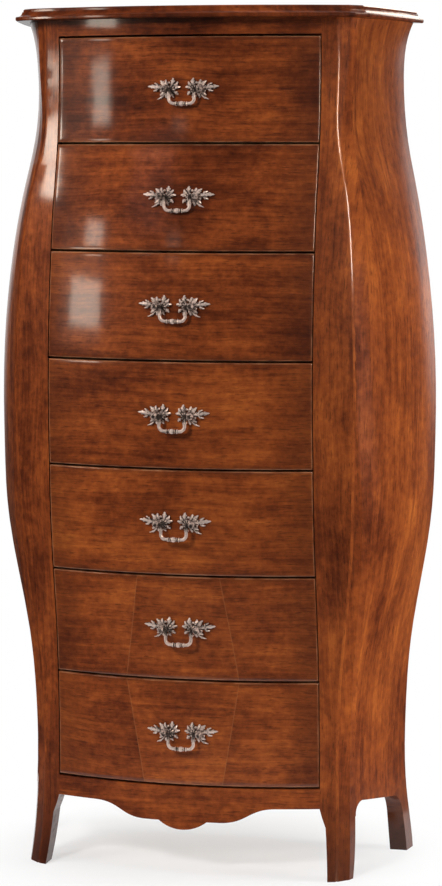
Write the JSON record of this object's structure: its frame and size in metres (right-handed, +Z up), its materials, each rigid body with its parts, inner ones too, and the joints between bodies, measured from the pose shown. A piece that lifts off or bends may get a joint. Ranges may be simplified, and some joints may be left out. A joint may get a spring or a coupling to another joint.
{
  "type": "tall chest of drawers",
  "caption": "Tall narrow chest of drawers with a bowed, swelling front, flared sides, moulded top and shaped apron; drawers slide on wooden runners and carry swinging bail pulls.",
  "frame": {"origin": "on the floor, at the middle of the box around the chest", "axes": "X along the front to the right, Y from the front to the back, Z up"},
  "size_m": [0.6808, 0.3283, 1.3],
  "materials": {
    "outer_wood": "reddish brown aged walnut stain with satin lacquer",
    "inner_wood": "plain pale wood, sanded",
    "antique_metal": "antique silvered casting with dark recesses",
    "screw_steel": "zinc plated"
  },
  "bodies": {
    "carcass": {"top_board": "outer_wood", "top_rail": "outer_wood", "apron_rail": "outer_wood", "front_left_post": "outer_wood", "front_right_post": "outer_wood", "rear_left_leg": "outer_wood", "rear_right_leg": "outer_wood", "left_side_panel": "outer_wood", "right_side_panel": "outer_wood", "back_panel": "inner_wood", "bottom_board": "inner_wood", "drawer_dividers": "inner_wood", "left_runners": "inner_wood", "right_runners": "inner_wood", "back_rails": "inner_wood", "top_screws": "screw_steel"},
    "drawer_1": {"drawer_1_front": "outer_wood", "drawer_1_sides": "inner_wood", "drawer_1_back": "inner_wood", "drawer_1_bottom": "inner_wood", "drawer_1_handle_plates": "antique_metal"},
    "bail_1": {"drawer_1_bail": "antique_metal"},
    "drawer_2": {"drawer_2_front": "outer_wood", "drawer_2_sides": "inner_wood", "drawer_2_back": "inner_wood", "drawer_2_bottom": "inner_wood", "drawer_2_handle_plates": "antique_metal"},
    "bail_2": {"drawer_2_bail": "antique_metal"},
    "drawer_3": {"drawer_3_front": "outer_wood", "drawer_3_sides": "inner_wood", "drawer_3_back": "inner_wood", "drawer_3_bottom": "inner_wood", "drawer_3_handle_plates": "antique_metal"},
    "bail_3": {"drawer_3_bail": "antique_metal"},
    "drawer_4": {"drawer_4_front": "outer_wood", "drawer_4_sides": "inner_wood", "drawer_4_back": "inner_wood", "drawer_4_bottom": "inner_wood", "drawer_4_handle_plates": "antique_metal"},
    "bail_4": {"drawer_4_bail": "antique_metal"},
    "drawer_5": {"drawer_5_front": "outer_wood", "drawer_5_sides": "inner_wood", "drawer_5_back": "inner_wood", "drawer_5_bottom": "inner_wood", "drawer_5_handle_plates": "antique_metal"},
    "bail_5": {"drawer_5_bail": "antique_metal"},
    "drawer_6": {"drawer_6_front": "outer_wood", "drawer_6_sides": "inner_wood", "drawer_6_back": "inner_wood", "drawer_6_bottom": "inner_wood", "drawer_6_handle_plates": "antique_metal"},
    "bail_6": {"drawer_6_bail": "antique_metal"},
    "drawer_7": {"drawer_7_front": "outer_wood", "drawer_7_sides": "inner_wood", "drawer_7_back": "inner_wood", "drawer_7_bottom": "inner_wood", "drawer_7_handle_plates": "antique_metal"},
    "bail_7": {"drawer_7_bail": "antique_metal"}
  },
  "joints": [
    {"name": "drawer_1_slide", "type": "slide", "parent": "carcass", "child": "drawer_1", "axis": [0, -1, 0], "range_m": [0, 0.14]},
    {"name": "drawer_1_bail_swing", "type": "hinge", "parent": "drawer_1", "child": "bail_1", "pos_m": [0, -0.10095, 1.17683], "axis": [-1, 0, 0], "range_deg": [0, 110]},
    {"name": "drawer_2_slide", "type": "slide", "parent": "carcass", "child": "drawer_2", "axis": [0, -1, 0], "range_m": [0, 0.14]},
    {"name": "drawer_2_bail_swing", "type": "hinge", "parent": "drawer_2", "child": "bail_2", "pos_m": [0, -0.12904, 1.01865], "axis": [-1, 0, 0], "range_deg": [0, 110]},
    {"name": "drawer_3_slide", "type": "slide", "parent": "carcass", "child": "drawer_3", "axis": [0, -1, 0], "range_m": [0, 0.14]},
    {"name": "drawer_3_bail_swing", "type": "hinge", "parent": "drawer_3", "child": "bail_3", "pos_m": [0, -0.1545, 0.85687], "axis": [-1, 0, 0], "range_deg": [0, 110]},
    {"name": "drawer_4_slide", "type": "slide", "parent": "carcass", "child": "drawer_4", "axis": [0, -1, 0], "range_m": [0, 0.14]},
    {"name": "drawer_4_bail_swing", "type": "hinge", "parent": "drawer_4", "child": "bail_4", "pos_m": [0, -0.15876, 0.69536], "axis": [-1, 0, 0], "range_deg": [0, 110]},
    {"name": "drawer_5_slide", "type": "slide", "parent": "carcass", "child": "drawer_5", "axis": [0, -1, 0], "range_m": [0, 0.14]},
    {"name": "drawer_5_bail_swing", "type": "hinge", "parent": "drawer_5", "child": "bail_5", "pos_m": [0, -0.14868, 0.53424], "axis": [-1, 0, 0], "range_deg": [0, 110]},
    {"name": "drawer_6_slide", "type": "slide", "parent": "carcass", "child": "drawer_6", "axis": [0, -1, 0], "range_m": [0, 0.14]},
    {"name": "drawer_6_bail_swing", "type": "hinge", "parent": "drawer_6", "child": "bail_6", "pos_m": [0, -0.1214, 0.3735], "axis": [-1, 0, 0], "range_deg": [0, 110]},
    {"name": "drawer_7_slide", "type": "slide", "parent": "carcass", "child": "drawer_7", "axis": [0, -1, 0], "range_m": [0, 0.14]},
    {"name": "drawer_7_bail_swing", "type": "hinge", "parent": "drawer_7", "child": "bail_7", "pos_m": [0, -0.10698, 0.21463], "axis": [-1, 0, 0], "range_deg": [0, 110]}
  ]
}
